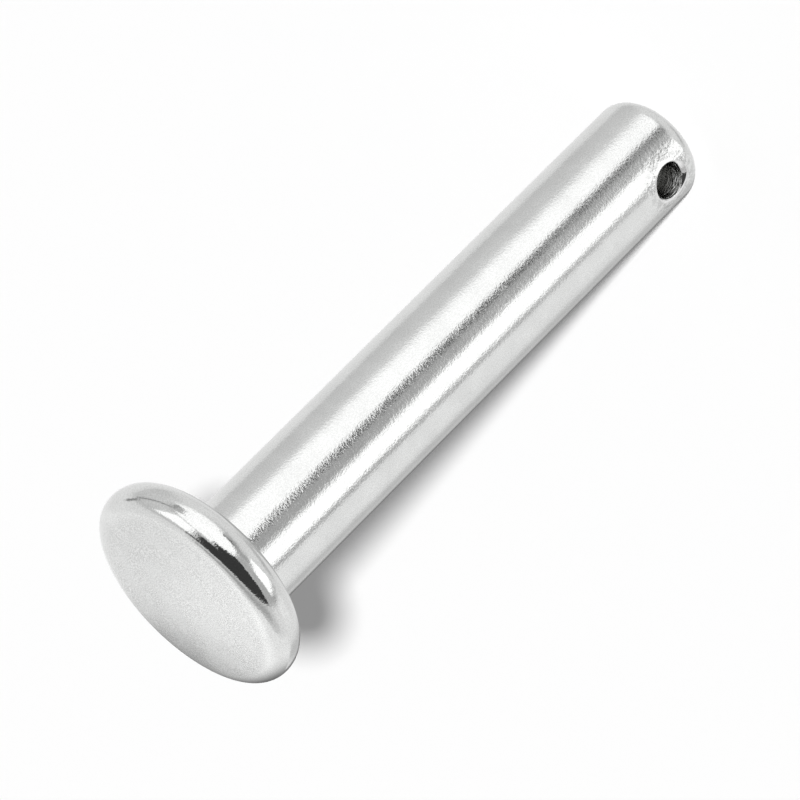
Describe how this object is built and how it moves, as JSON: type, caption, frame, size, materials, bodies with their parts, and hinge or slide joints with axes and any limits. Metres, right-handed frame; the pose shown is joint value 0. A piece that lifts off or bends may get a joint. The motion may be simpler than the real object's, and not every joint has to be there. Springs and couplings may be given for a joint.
{
  "type": "axle bolt",
  "caption": "Plain round axle bolt in bright zinc, with a broad rounded button head and a cross hole near the tail for a split pin.",
  "frame": {"origin": "middle of the tail's flat end face, on the shank's axis", "axes": "+Z along the shank from the tail to the head, +X along the cross hole, +Y completes a right-handed frame"},
  "size_m": [0.0237, 0.0237, 0.0733],
  "materials": {
    "zinc": "bright zinc plate, glossy with a fine grain"
  },
  "bodies": {
    "root": {"axle_bolt": "zinc"}
  },
  "joints": []
}
